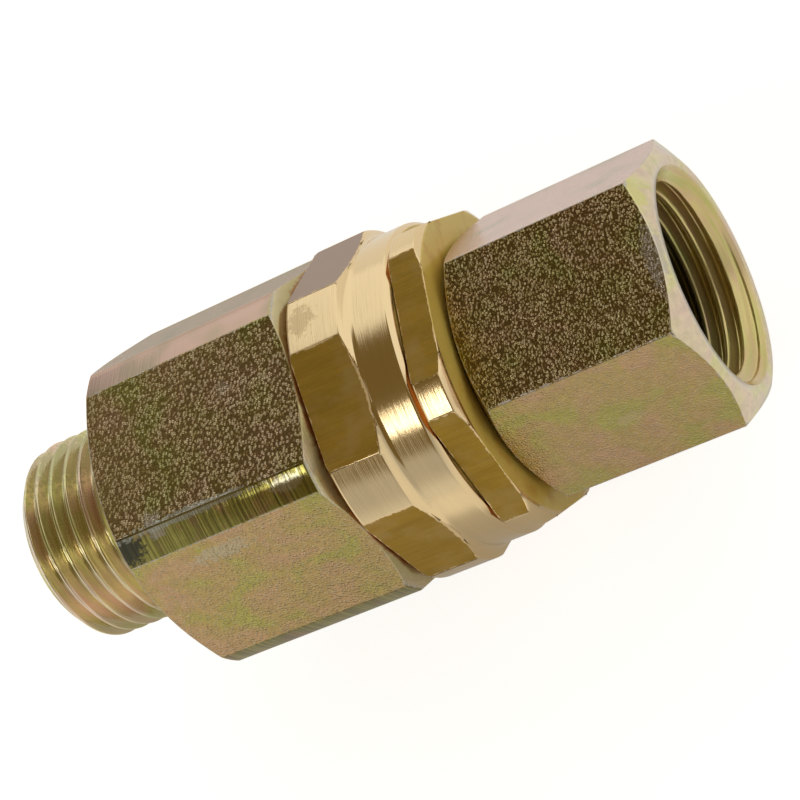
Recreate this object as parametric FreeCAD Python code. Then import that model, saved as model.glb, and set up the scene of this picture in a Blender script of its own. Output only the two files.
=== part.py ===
"""Straight inline hydraulic swivel joint, 1/2 inch pipe thread, male to female.

The swivel axis is X: the male stub points to -X and the female port to +X. +Z is up, square to
one flat of the housing. The origin is on the axis, in the plane of the male shoulder.
Everything is in millimetres.
"""
import FreeCAD, Part
import math
import os

# 1/2 inch parallel pipe thread, 14 threads to the inch, 55 degree form
PIPE_THREAD_MAJOR_D = 20.955
PIPE_THREAD_PITCH = 25.4 / 14
PIPE_THREAD_DEPTH_PER_PITCH = 0.640327

# Metric threads of the inner joints, shown as plain cylinders at their pitch diameter
METRIC_PITCH_D_DROP = 0.649519
SPIGOT_THREAD_D = 27.0
SPIGOT_THREAD_PITCH = 1.5
GLAND_THREAD_D = 24.0
GLAND_THREAD_PITCH = 1.0
TAIL_THREAD_D = 16.0
TAIL_THREAD_PITCH = 1.5

# Flow passage
INLET_BORE_D = 12.0
SPINDLE_BORE_D = 11.0

# Male stub
STUB_LENGTH = 13.3
STUB_RELIEF_WIDTH = 2.2
STUB_RELIEF_BELOW_THREAD = 0.2
STUB_END_CHAMFER_BELOW_THREAD = 0.1
STUB_RELIEF_FILLET = 0.6
CONE_SEAT_D = 15.6
CONE_SEAT_ANGLE = 60.0

# Housing hexagon
HOUSING_FLATS = 32.0
HOUSING_TURNED_D = 35.3
HOUSING_LENGTH = 24.4
HOUSING_CHAMFER_DROP = 2.45
HEX_CHAMFER_ANGLE = 30.0

# Bearing nut: the hexagon that abuts the housing, with the smooth band beside it
BEARING_HEX_FLATS = 32.0
BEARING_HEX_TURNED_D = 34.0
BEARING_HEX_LENGTH = 6.3
BEARING_HEX_TURN = 11.7
BAND_STEP = 1.05
BAND_LENGTH = 4.4
BAND_FILLET = 0.5
BAND_END_CHAMFER = 0.5
JOURNAL_BORE_LENGTH = 11.9

# Gland nut: the thin hexagon beside the band
GLAND_HEX_FLATS = 30.0
GLAND_HEX_TURNED_D = 32.8
GLAND_HEX_LENGTH = 3.35
GLAND_CHAMFER_DROP = 0.8
GLAND_HEX_TURN = -7.2
GLAND_GAP = 0.15

# Female body hexagon
BODY_FLATS = 25.0
BODY_LENGTH = 21.3
BODY_BACK_CHAMFER_DROP = 2.13
BODY_FRONT_CHAMFER_DROP = 2.53
BODY_TURN = 4.3
BODY_GAP = 0.4

# Female port
PORT_DEPTH = 14.0
PORT_MOUTH_D = 21.9
PORT_RELIEF_WIDTH = 2.5
PORT_RELIEF_BELOW_THREAD = 0.12

# Spindle
NOSE_D = 15.0
NOSE_LEAD = 0.8
NOSE_LEAD_ANGLE = 30.0
NOSE_END_GAP = 0.3
FLANGE_D = 24.6
FLANGE_LENGTH = 4.0
JOURNAL_D = 18.0
TAIL_LENGTH = 4.9
TAIL_END_GAP = 0.3

# Pressure seal and bearing stack inside the housing
POCKET_FLOOR = 2.6
POCKET_D = 22.0
SEAT_RING_THICKNESS = 0.8
SEAL_GROOVE_WIDTH = 3.2
SEAL_RING_HEIGHT = 1.2
BACKUP_RING_THICKNESS = 0.8
GUIDE_BUSH_LENGTH = 2.0
CHAMBER_D = 25.2
THRUST_WASHER_THICKNESS = 1.5

# Gland packing, wiper and static O-rings
SPACER_THICKNESS = 1.0
PACKING_WIDTH = 2.4
WIPER_POCKET_D = 22.8
WIPER_POCKET_DEPTH = 2.0
WIPER_LIP_DROP = 0.6
NUT_O_RING_SECTION = 1.7
NUT_O_RING_COLLAR = 0.5
TAIL_O_RING_SECTION = 1.5
TAIL_GROOVE_DEPTH = 0.6
O_RING_SIDE_ROOM = 0.3

# Clearances and small edges
RUNNING_CLEARANCE = 0.04
END_PLAY = 0.03
LOOSE_CLEARANCE = 0.2
WASHER_CLEARANCE = 0.1
STATIC_CLEARANCE = 0.02
EDGE_BREAK = 0.25
EDGE_TOLERANCE = 1e-6


def pitch_radius(nominal, pitch):
    """Radius at which an inner metric thread is shown."""
    return (nominal - METRIC_PITCH_D_DROP * pitch) / 2


# Pipe thread radii
PIPE_MAJOR_R = PIPE_THREAD_MAJOR_D / 2
PIPE_MINOR_R = PIPE_MAJOR_R - PIPE_THREAD_DEPTH_PER_PITCH * PIPE_THREAD_PITCH

# Radii of the inner joints
SPIGOT_R = pitch_radius(SPIGOT_THREAD_D, SPIGOT_THREAD_PITCH)
GLAND_R = pitch_radius(GLAND_THREAD_D, GLAND_THREAD_PITCH)
TAIL_R = pitch_radius(TAIL_THREAD_D, TAIL_THREAD_PITCH)
INLET_R = INLET_BORE_D / 2
SPINDLE_BORE_R = SPINDLE_BORE_D / 2
NOSE_R = NOSE_D / 2
JOURNAL_R = JOURNAL_D / 2
POCKET_R = POCKET_D / 2
CHAMBER_R = CHAMBER_D / 2
BEARING_BORE_R = JOURNAL_R + RUNNING_CLEARANCE

# Stations along X inside the housing, from the pocket floor to the open end
SEAL_START = POCKET_FLOOR + SEAT_RING_THICKNESS
SEAL_END = SEAL_START + SEAL_GROOVE_WIDTH
BUSH_START = SEAL_END + BACKUP_RING_THICKNESS
CHAMBER_START = BUSH_START + GUIDE_BUSH_LENGTH
FLANGE_START = CHAMBER_START + THRUST_WASHER_THICKNESS + END_PLAY
FLANGE_END = FLANGE_START + FLANGE_LENGTH
OUTER_WASHER_START = FLANGE_END + END_PLAY
SPIGOT_END = OUTER_WASHER_START + THRUST_WASHER_THICKNESS

# Static O-ring under the bearing nut's shoulder
NUT_O_RING_R = NUT_O_RING_SECTION / 2
NUT_O_RING_GROOVE_END = HOUSING_LENGTH - NUT_O_RING_COLLAR
NUT_O_RING_GROOVE_START = NUT_O_RING_GROOVE_END - NUT_O_RING_SECTION - 2 * O_RING_SIDE_ROOM
COUNTERBORE_R = SPIGOT_THREAD_D / 2 + WASHER_CLEARANCE

# Stations along X outside the housing
BEARING_HEX_END = HOUSING_LENGTH + BEARING_HEX_LENGTH
BAND_END = BEARING_HEX_END + BAND_LENGTH
PACKING_FLOOR = SPIGOT_END + JOURNAL_BORE_LENGTH
PACKING_START = PACKING_FLOOR + SPACER_THICKNESS
PACKING_END = PACKING_START + PACKING_WIDTH
GLAND_HEX_START = BAND_END + GLAND_GAP
GLAND_HEX_END = GLAND_HEX_START + GLAND_HEX_LENGTH
BODY_START = GLAND_HEX_END + BODY_GAP
BODY_END = BODY_START + BODY_LENGTH
TAIL_END = BODY_START + TAIL_LENGTH
SOCKET_END = TAIL_END + TAIL_END_GAP
PORT_FLOOR = BODY_END - PORT_DEPTH

# Static O-ring between the spindle's shoulder and the female body
TAIL_O_RING_R = TAIL_O_RING_SECTION / 2
TAIL_GROOVE_R = TAIL_R - TAIL_GROOVE_DEPTH
TAIL_GROOVE_END = BODY_START + TAIL_O_RING_SECTION + O_RING_SIDE_ROOM
TAIL_SINK_R = TAIL_GROOVE_R + TAIL_O_RING_SECTION + STATIC_CLEARANCE

X_AXIS = FreeCAD.Vector(1, 0, 0)
ORIGIN = FreeCAD.Vector(0, 0, 0)


def turned(profile, spline_slopes=False):
    """Solid of revolution about X from a closed outline of (x, radius) points.

    A blank for a hexagon takes one-span splines for its sloping lines. Its flats are then bounded
    by splines, where plain cones would leave hyperbolas, which some solid tools can't measure.
    """
    points = [FreeCAD.Vector(x, radius, 0) for x, radius in profile]
    edges = []
    for start, end in zip(points, points[1:] + points[:1]):
        if spline_slopes and start.x != end.x and start.y != end.y:
            slope = Part.BSplineCurve()
            slope.buildFromPoles([start, end], False, 1)
            edges.append(slope.toShape())
        else:
            edges.append(Part.makeLine(start, end))
    return Part.Face(Part.Wire(edges)).revolve(ORIGIN, X_AXIS, 360)


def ring(start, end, inner_radius, outer_radius, chamfer=0.0):
    """Plain washer or bush between two stations, with its four edges broken if asked."""
    if not chamfer:
        return turned([(start, inner_radius), (end, inner_radius), (end, outer_radius),
                       (start, outer_radius)])
    return turned([(start + chamfer, inner_radius), (end - chamfer, inner_radius),
                   (end, inner_radius + chamfer), (end, outer_radius - chamfer),
                   (end - chamfer, outer_radius), (start + chamfer, outer_radius),
                   (start, outer_radius - chamfer), (start, inner_radius + chamfer)])


def o_ring(centre, ring_radius, section_radius):
    """Round-section ring about X."""
    place = FreeCAD.Vector(centre, 0, 0)
    return Part.makeTorus(ring_radius, section_radius, place, X_AXIS)


def hex_prism(start, end, flats, turn):
    """Hexagonal bar along X, one flat square to +Z before it is turned about X."""
    corner_radius = flats / math.sqrt(3)
    corners = []
    for step in range(6):
        angle = math.radians(60 * step + turn)
        corners.append(FreeCAD.Vector(start, corner_radius * math.cos(angle),
                                      corner_radius * math.sin(angle)))
    face = Part.Face(Part.makePolygon(corners + corners[:1]))
    return face.extrude(FreeCAD.Vector(end - start, 0, 0))


def mill_hexagon(blank, start, end, flats, turn):
    """Cut six flats on a turned blank between two stations, which leaves arcs on its cones."""
    outside = ring(start, end, 0, flats).cut(hex_prism(start, end, flats, turn))
    return blank.cut(outside)


def chamfer_run(drop):
    """Axial length of a hexagon's end chamfer that falls by a radial drop to its face."""
    return drop * math.tan(math.radians(HEX_CHAMFER_ANGLE))


def circles_at(shape, station, radius):
    """Circular edges about X that lie at one station with one radius."""
    edges = []
    for edge in shape.Edges:
        curve = edge.Curve
        if isinstance(curve, Part.Circle):
            offset = abs(curve.Center.x - station) + abs(curve.Radius - radius)
            if offset < EDGE_TOLERANCE:
                edges.append(edge)
    return edges


def male_housing():
    """Steel hexagon with the male stub, the seal pocket and the open bearing chamber."""
    relief_radius = PIPE_MINOR_R - STUB_RELIEF_BELOW_THREAD
    end_radius = PIPE_MINOR_R - STUB_END_CHAMFER_BELOW_THREAD
    end_chamfer = PIPE_MAJOR_R - end_radius
    relief_ramp = PIPE_MAJOR_R - relief_radius
    relief_start = -STUB_RELIEF_WIDTH
    corner_radius = HOUSING_TURNED_D / 2
    face_radius = corner_radius - HOUSING_CHAMFER_DROP
    face_run = chamfer_run(HOUSING_CHAMFER_DROP)
    blank = turned([(-STUB_LENGTH, 0), (-STUB_LENGTH, end_radius),
                    (-STUB_LENGTH + end_chamfer, PIPE_MAJOR_R),
                    (relief_start - relief_ramp, PIPE_MAJOR_R), (relief_start, relief_radius),
                    (0, relief_radius), (0, face_radius), (face_run, corner_radius),
                    (HOUSING_LENGTH - face_run, corner_radius), (HOUSING_LENGTH, face_radius),
                    (HOUSING_LENGTH, 0)], spline_slopes=True)
    blank = blank.makeFillet(STUB_RELIEF_FILLET, circles_at(blank, 0, relief_radius))
    seat_radius = CONE_SEAT_D / 2
    seat_depth = (seat_radius - INLET_R) / math.tan(math.radians(CONE_SEAT_ANGLE / 2))
    thread_radius = SPIGOT_R + STATIC_CLEARANCE
    thread_start = SPIGOT_END - SPIGOT_THREAD_PITCH
    cavity = turned([(-STUB_LENGTH, 0), (-STUB_LENGTH, seat_radius),
                     (-STUB_LENGTH + seat_depth, INLET_R), (POCKET_FLOOR, INLET_R),
                     (POCKET_FLOOR, POCKET_R), (CHAMBER_START, POCKET_R),
                     (CHAMBER_START, CHAMBER_R), (thread_start, CHAMBER_R),
                     (thread_start, thread_radius), (NUT_O_RING_GROOVE_START, thread_radius),
                     (NUT_O_RING_GROOVE_START, COUNTERBORE_R), (HOUSING_LENGTH, COUNTERBORE_R),
                     (HOUSING_LENGTH, 0)])
    return mill_hexagon(blank, 0, HOUSING_LENGTH, HOUSING_FLATS, 0).cut(cavity)


def bearing_nut():
    """Brass nut that closes the chamber: threaded spigot, hexagon, smooth band, journal bore."""
    corner_radius = BEARING_HEX_TURNED_D / 2
    band_radius = corner_radius - BAND_STEP
    cone_run = chamfer_run(BAND_STEP)
    collar_radius = COUNTERBORE_R - STATIC_CLEARANCE
    groove_radius = collar_radius - NUT_O_RING_SECTION
    blank = turned([(SPIGOT_END, 0), (SPIGOT_END, SPIGOT_R - EDGE_BREAK),
                    (SPIGOT_END + EDGE_BREAK, SPIGOT_R), (NUT_O_RING_GROOVE_START, SPIGOT_R),
                    (NUT_O_RING_GROOVE_START, groove_radius),
                    (NUT_O_RING_GROOVE_END, groove_radius),
                    (NUT_O_RING_GROOVE_END, collar_radius), (HOUSING_LENGTH, collar_radius),
                    (HOUSING_LENGTH, corner_radius - EDGE_BREAK),
                    (HOUSING_LENGTH + EDGE_BREAK, corner_radius),
                    (BEARING_HEX_END - cone_run, corner_radius), (BEARING_HEX_END, band_radius),
                    (BAND_END - BAND_END_CHAMFER, band_radius),
                    (BAND_END, band_radius - BAND_END_CHAMFER), (BAND_END, 0)],
                   spline_slopes=True)
    blank = blank.makeFillet(BAND_FILLET, circles_at(blank, BEARING_HEX_END, band_radius))
    nut = mill_hexagon(blank, HOUSING_LENGTH, BEARING_HEX_END + BAND_FILLET, BEARING_HEX_FLATS,
                       BEARING_HEX_TURN)
    thread_radius = GLAND_R + STATIC_CLEARANCE
    cavity = turned([(SPIGOT_END, 0), (SPIGOT_END, BEARING_BORE_R),
                     (PACKING_FLOOR, BEARING_BORE_R), (PACKING_FLOOR, thread_radius),
                     (BAND_END - BAND_END_CHAMFER, thread_radius),
                     (BAND_END, thread_radius + BAND_END_CHAMFER), (BAND_END, 0)])
    return nut.cut(cavity)


def gland_nut():
    """Thin brass hexagon whose spigot presses on the packing, with a pocket for the wiper."""
    corner_radius = GLAND_HEX_TURNED_D / 2
    blank = turned([(PACKING_END, 0), (PACKING_END, GLAND_R), (GLAND_HEX_START, GLAND_R),
                    (GLAND_HEX_START, corner_radius - EDGE_BREAK),
                    (GLAND_HEX_START + EDGE_BREAK, corner_radius),
                    (GLAND_HEX_END - chamfer_run(GLAND_CHAMFER_DROP), corner_radius),
                    (GLAND_HEX_END, corner_radius - GLAND_CHAMFER_DROP), (GLAND_HEX_END, 0)],
                   spline_slopes=True)
    nut = mill_hexagon(blank, GLAND_HEX_START, GLAND_HEX_END, GLAND_HEX_FLATS, GLAND_HEX_TURN)
    bore_radius = JOURNAL_R + LOOSE_CLEARANCE
    wiper_radius = WIPER_POCKET_D / 2
    wiper_floor = GLAND_HEX_END - WIPER_POCKET_DEPTH
    cavity = turned([(PACKING_END, 0), (PACKING_END, bore_radius), (wiper_floor, bore_radius),
                     (wiper_floor, wiper_radius), (GLAND_HEX_END, wiper_radius),
                     (GLAND_HEX_END, 0)])
    return nut.cut(cavity)


def spindle():
    """Hollow steel spindle: seal nose, thrust flange, journal and threaded tail."""
    nose_start = POCKET_FLOOR + NOSE_END_GAP
    lead_drop = NOSE_LEAD * math.tan(math.radians(NOSE_LEAD_ANGLE))
    flange_radius = FLANGE_D / 2
    return turned([(nose_start, SPINDLE_BORE_R), (TAIL_END, SPINDLE_BORE_R),
                   (TAIL_END, TAIL_R - EDGE_BREAK),
                   (TAIL_END - EDGE_BREAK, TAIL_R), (TAIL_GROOVE_END, TAIL_R),
                   (TAIL_GROOVE_END, TAIL_GROOVE_R), (BODY_START, TAIL_GROOVE_R),
                   (BODY_START, JOURNAL_R), (FLANGE_END, JOURNAL_R),
                   (FLANGE_END, flange_radius - EDGE_BREAK),
                   (FLANGE_END - EDGE_BREAK, flange_radius),
                   (FLANGE_START + EDGE_BREAK, flange_radius),
                   (FLANGE_START, flange_radius - EDGE_BREAK), (FLANGE_START, NOSE_R),
                   (nose_start + NOSE_LEAD, NOSE_R), (nose_start, NOSE_R - lead_drop)])


def female_body():
    """Steel hexagon with sharp corners: tail socket at the back, female port at the front."""
    corner_radius = BODY_FLATS / math.sqrt(3)
    blank = turned([(BODY_START, 0), (BODY_START, corner_radius - BODY_BACK_CHAMFER_DROP),
                    (BODY_START + chamfer_run(BODY_BACK_CHAMFER_DROP), corner_radius),
                    (BODY_END - chamfer_run(BODY_FRONT_CHAMFER_DROP), corner_radius),
                    (BODY_END, corner_radius - BODY_FRONT_CHAMFER_DROP), (BODY_END, 0)],
                   spline_slopes=True)
    body = mill_hexagon(blank, BODY_START, BODY_END, BODY_FLATS, BODY_TURN)
    mouth_radius = PORT_MOUTH_D / 2
    relief_radius = PIPE_MAJOR_R + PORT_RELIEF_BELOW_THREAD
    relief_end = PORT_FLOOR + PORT_RELIEF_WIDTH
    relief_ramp = relief_radius - PIPE_MINOR_R
    cavity = turned([(BODY_START, 0), (BODY_START, TAIL_SINK_R), (TAIL_GROOVE_END, TAIL_SINK_R),
                     (TAIL_GROOVE_END, TAIL_R + STATIC_CLEARANCE),
                     (SOCKET_END, TAIL_R + STATIC_CLEARANCE), (SOCKET_END, SPINDLE_BORE_R),
                     (PORT_FLOOR, SPINDLE_BORE_R), (PORT_FLOOR, relief_radius),
                     (relief_end, relief_radius), (relief_end + relief_ramp, PIPE_MINOR_R),
                     (BODY_END - mouth_radius + PIPE_MINOR_R, PIPE_MINOR_R),
                     (BODY_END, mouth_radius), (BODY_END, 0)])
    return body.cut(cavity)


def seal_seat_ring():
    """Flat steel ring that gives the pressure seal a hard floor."""
    return ring(POCKET_FLOOR, SEAL_START, NOSE_R + LOOSE_CLEARANCE, POCKET_R - STATIC_CLEARANCE)


def pressure_seal_ring():
    """Slippery ring that runs on the spindle's nose."""
    inner_radius = NOSE_R + RUNNING_CLEARANCE
    return ring(SEAL_START + STATIC_CLEARANCE, SEAL_END - STATIC_CLEARANCE, inner_radius,
                inner_radius + SEAL_RING_HEIGHT, EDGE_BREAK)


def pressure_seal_energizer():
    """O-ring that presses the seal ring onto the nose."""
    inner_radius = NOSE_R + RUNNING_CLEARANCE + SEAL_RING_HEIGHT + STATIC_CLEARANCE
    outer_radius = POCKET_R - STATIC_CLEARANCE
    return o_ring((SEAL_START + SEAL_END) / 2, (inner_radius + outer_radius) / 2,
                  (outer_radius - inner_radius) / 2)


def seal_backup_ring():
    """Hard ring that keeps the pressure seal out of the bush's gap."""
    return ring(SEAL_END, BUSH_START, NOSE_R + WASHER_CLEARANCE, POCKET_R - STATIC_CLEARANCE)


def guide_bush():
    """Bronze bush that guides the spindle's nose."""
    return ring(BUSH_START, CHAMBER_START, NOSE_R + RUNNING_CLEARANCE,
                POCKET_R - STATIC_CLEARANCE)


def inner_thrust_washer():
    """Washer between the chamber's floor and the spindle's flange."""
    return ring(CHAMBER_START, CHAMBER_START + THRUST_WASHER_THICKNESS,
                NOSE_R + LOOSE_CLEARANCE, CHAMBER_R - WASHER_CLEARANCE)


def outer_thrust_washer():
    """Washer that carries the pressure load from the flange to the bearing nut."""
    return ring(OUTER_WASHER_START, SPIGOT_END, JOURNAL_R + WASHER_CLEARANCE,
                CHAMBER_R - WASHER_CLEARANCE)


def nut_o_ring():
    """Static O-ring between the housing's counterbore and the bearing nut."""
    section_radius = NUT_O_RING_R - STATIC_CLEARANCE / 2
    return o_ring((NUT_O_RING_GROOVE_START + NUT_O_RING_GROOVE_END) / 2,
                  COUNTERBORE_R - STATIC_CLEARANCE - NUT_O_RING_R, section_radius)


def gland_spacer_washer():
    """Washer at the bottom of the packing chamber."""
    return ring(PACKING_FLOOR, PACKING_START, JOURNAL_R + WASHER_CLEARANCE, GLAND_R)


def gland_packing_ring():
    """Packing ring that the gland nut presses round the journal."""
    return ring(PACKING_START, PACKING_END, BEARING_BORE_R, GLAND_R, EDGE_BREAK)


def dust_wiper():
    """Rubber wiper in the gland nut, with a lip that leans on the journal."""
    floor = GLAND_HEX_END - WIPER_POCKET_DEPTH
    outer_radius = WIPER_POCKET_D / 2 - STATIC_CLEARANCE
    lip_radius = BEARING_BORE_R + WIPER_LIP_DROP
    front = GLAND_HEX_END - LOOSE_CLEARANCE
    return turned([(floor, lip_radius), (front - EDGE_BREAK, BEARING_BORE_R),
                   (front, BEARING_BORE_R), (front, lip_radius),
                   (front - WIPER_LIP_DROP, outer_radius), (floor, outer_radius)])


def spindle_o_ring():
    """Static O-ring between the spindle's shoulder and the female body."""
    section_radius = TAIL_O_RING_R - STATIC_CLEARANCE / 2
    centre = BODY_START + TAIL_O_RING_R + STATIC_CLEARANCE
    return o_ring(centre, TAIL_GROOVE_R + TAIL_O_RING_R + STATIC_CLEARANCE / 2, section_radius)


PIECES = (male_housing, bearing_nut, gland_nut, spindle, female_body, seal_seat_ring,
          pressure_seal_ring, pressure_seal_energizer, seal_backup_ring, guide_bush,
          inner_thrust_washer, outer_thrust_washer, nut_o_ring, gland_spacer_washer,
          gland_packing_ring, dust_wiper, spindle_o_ring)


def main():
    """Write each piece to a STEP file of its own, named after the piece."""
    os.makedirs("parts", exist_ok=True)
    for piece in PIECES:
        shape = piece()
        solid = shape.Solids[0] if len(shape.Solids) == 1 else shape
        solid.exportStep(f"parts/{piece.__name__}.step")


main()
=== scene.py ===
"""Studio scene of a straight hydraulic swivel joint with turned and milled hexagons.

The swivel axis is X, the male stub points to -X, and +Z is up, square to one flat of the housing.
Outlines are written in millimetres and scaled to metres as they are spun.
"""

import math

import bmesh
import bpy
from bpy.props import FloatProperty, FloatVectorProperty, IntProperty, PointerProperty
from mathutils import Matrix, Vector


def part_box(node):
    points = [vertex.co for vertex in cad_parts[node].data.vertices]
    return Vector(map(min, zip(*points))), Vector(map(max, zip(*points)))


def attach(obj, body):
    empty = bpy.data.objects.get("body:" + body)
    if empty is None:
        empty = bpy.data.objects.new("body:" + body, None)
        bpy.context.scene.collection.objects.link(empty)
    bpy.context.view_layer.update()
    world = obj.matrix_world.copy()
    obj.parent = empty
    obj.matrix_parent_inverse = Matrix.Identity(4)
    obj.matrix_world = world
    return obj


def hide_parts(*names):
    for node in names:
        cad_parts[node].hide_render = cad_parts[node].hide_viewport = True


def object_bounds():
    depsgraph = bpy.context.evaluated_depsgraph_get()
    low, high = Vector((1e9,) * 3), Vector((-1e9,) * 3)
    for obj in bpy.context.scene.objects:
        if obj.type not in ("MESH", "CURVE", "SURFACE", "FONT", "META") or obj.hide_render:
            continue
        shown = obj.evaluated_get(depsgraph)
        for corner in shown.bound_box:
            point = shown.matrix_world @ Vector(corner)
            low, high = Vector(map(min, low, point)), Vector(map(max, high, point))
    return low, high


bl_info = {
    "name": "Hydraulic Swivel Joint",
    "version": (1, 0, 0),
    "blender": (4, 5, 0),
    "location": "3D View > Sidebar > Swivel",
    "description": "Models and finishes a straight swivel joint on its packed frame",
    "category": "Mesh",
}

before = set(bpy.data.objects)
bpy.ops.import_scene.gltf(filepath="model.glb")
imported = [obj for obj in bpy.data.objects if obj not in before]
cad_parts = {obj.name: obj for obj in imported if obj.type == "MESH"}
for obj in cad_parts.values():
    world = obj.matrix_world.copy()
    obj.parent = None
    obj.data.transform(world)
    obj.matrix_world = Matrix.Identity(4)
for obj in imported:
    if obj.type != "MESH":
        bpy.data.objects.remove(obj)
CAD_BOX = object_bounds()

MM = 0.001
X_AXIS = Vector((1, 0, 0))
FLAT_MATERIAL = 1
STEEP_EDGE = math.radians(18)
FLOOR_GAP = 0.2 * MM

# Form of the 55 degree pipe thread, in shares of its pitch
THREAD_DEPTH = 0.640327
THREAD_ROUNDING = 0.137329
THREAD_HALF_ANGLE = math.radians(27.5)

# Lengths that the pieces share and the frame's boxes don't hold, in mm
CLEARANCE = 0.02
WASHER_CLEARANCE = 0.1
WASHER_THICKNESS = 1.5
EDGE_BREAK = 0.25
SPIGOT_THREAD_RADIUS = 13.013
COUNTERBORE_RADIUS = 13.6
O_RING_GROOVE_START = 21.6

# Tones of wear, stains and tints, and of painted light and shade
# Painted highlight on the grain's domes and painted shade in the pits between them
GRAIN_HIGHLIGHT = (0.56, 0.56, 0.44)
GRAIN_PIT_SHADE = (0.090, 0.060, 0.006)
# Painted shade in the seams between pieces, tinted orange as a painted reflection of the brass
SEAM_SHADE_TONE = (0.38, 0.14, 0.028)
# Painted olive light on a chamfer within reach of a seam
SEAM_SIDE_LIGHT = (0.56, 0.47, 0.14)
RUBBED_RIM = (0.66, 0.62, 0.52)
PORT_TINT = (1.0, 0.97, 0.70)
# Painted shade deep inside the female port
PORT_DEPTH_SHADE = (0.06, 0.045, 0.025)
BRASS_CLOUDS = (0.52, 0.36, 0.13)
BRASS_SPECKS = (0.50, 0.37, 0.20)
# Amber patches of the brass stain, also a painted reflection
AMBER_STAIN_REFLECTION = (0.70, 0.42, 0.06)
# Olive and rosy shades of the patches of the painted sheen
OLIVE_PATCH = (0.86, 0.95, 0.86)
ROSY_PATCH = (1.20, 1.13, 1.18)


def frame_mm(node):
    """Lowest and highest corner of a node of the frame, in millimetres."""
    low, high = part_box(node)
    return low / MM, high / MM


# Sizes and colours a user would change

def setting(name, default, description, unit="NONE"):
    """Number, with a unit of the scene's where one fits."""
    return FloatProperty(name=name, default=default, description=description, unit=unit)


def angle_setting(name, degrees, description):
    """Angle that is shown in degrees."""
    return FloatProperty(name=name, default=math.radians(degrees), description=description,
                         subtype="ANGLE")


def colour_setting(name, default, description):
    """Colour with red, green and blue."""
    return FloatVectorProperty(name=name, default=default, description=description,
                               subtype="COLOR", size=3)


class SwivelSizes(bpy.types.PropertyGroup):
    """Sizes that the frame's boxes don't hold."""

    thread_pitch: setting("Thread pitch", 25.4 / 14, "From crest to crest, in mm")
    thread_diameter: setting("Thread diameter", 20.955, "Over the crests of the pipe thread, in mm")
    male_start: setting("Male thread start", -11.0,
                        "Station of a crest on the +Y side of the stub, in mm")
    female_start: setting("Female thread start", 49.27,
                          "Station of a groove on the +Y side of the port, in mm")
    chamfer_angle: angle_setting("Chamfer angle", 30, "Slope of the hexagons' turned ends")
    bearing_turn: angle_setting("Bearing nut turn", 11.7, "Turn of the large brass hexagon")
    gland_turn: angle_setting("Gland nut turn", -7.2, "Turn of the thin brass hexagon")
    body_turn: angle_setting("Female body turn", 4.3, "Turn of the small steel hexagon")
    edge_width: setting("Edge width", 0.12, "Width of the broken edges, in mm")
    steps: IntProperty(name="Steps", default=240, min=24, description="Steps of a full turn")


class SwivelFinish(bpy.types.PropertyGroup):
    """Colours of the plating and the metals."""

    film_tan: colour_setting("Film tan", (0.53, 0.375, 0.155), "Main colour of the chromate film")
    film_pink: colour_setting("Film pink", (0.58, 0.365, 0.205), "Chromate film where it is thick")
    film_green: colour_setting("Film green", (0.46, 0.415, 0.115), "Chromate film where it is thin")
    # The pale colours paint a sheen on upper faces seen at a low angle
    housing_pale: colour_setting("Housing pale", (0.47, 0.340, 0.245), "Housing at a low angle")
    body_pale: colour_setting("Body pale", (0.63, 0.475, 0.38), "Female body at a low angle")
    brass_pale: colour_setting("Brass pale", (0.48, 0.37, 0.30), "Brass flats at a low angle")
    turned_tan: colour_setting("Turned tan", (0.72, 0.61, 0.42), "Film on smooth turned steel")
    turned_pink: colour_setting("Turned pink", (0.74, 0.58, 0.46), "Pink shade of turned steel")
    turned_green: colour_setting("Turned green", (0.68, 0.64, 0.32), "Green shade of turned steel")
    thread_tan: colour_setting("Thread tan", (0.76, 0.64, 0.37), "Chromate film on the threads")
    thread_pink: colour_setting("Thread pink", (0.77, 0.58, 0.42), "Pink shade of the threads")
    thread_green: colour_setting("Thread green", (0.67, 0.64, 0.30), "Green shade of the threads")
    worn_steel: colour_setting("Worn steel", (0.58, 0.51, 0.40), "Zinc where the film is rubbed off")
    brass_turned: colour_setting("Turned brass", (0.88, 0.67, 0.37), "Freshly turned brass")
    brass_skin: colour_setting("Brass skin", (0.48, 0.30, 0.047), "Dull skin of the brass flats")
    # The brass stain also paints the reflection of the steel hexagon on the shaded end faces
    brass_stain_reflection: colour_setting("Brass stain", (0.82, 0.61, 0.13), "Olive stain on end faces")
    grain_size: setting("Grain size", 0.29, "Grain of the housing's flats, in mm")
    fine_grain: setting("Fine grain", 0.215, "Grain of the female body's flats, in mm")


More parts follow.
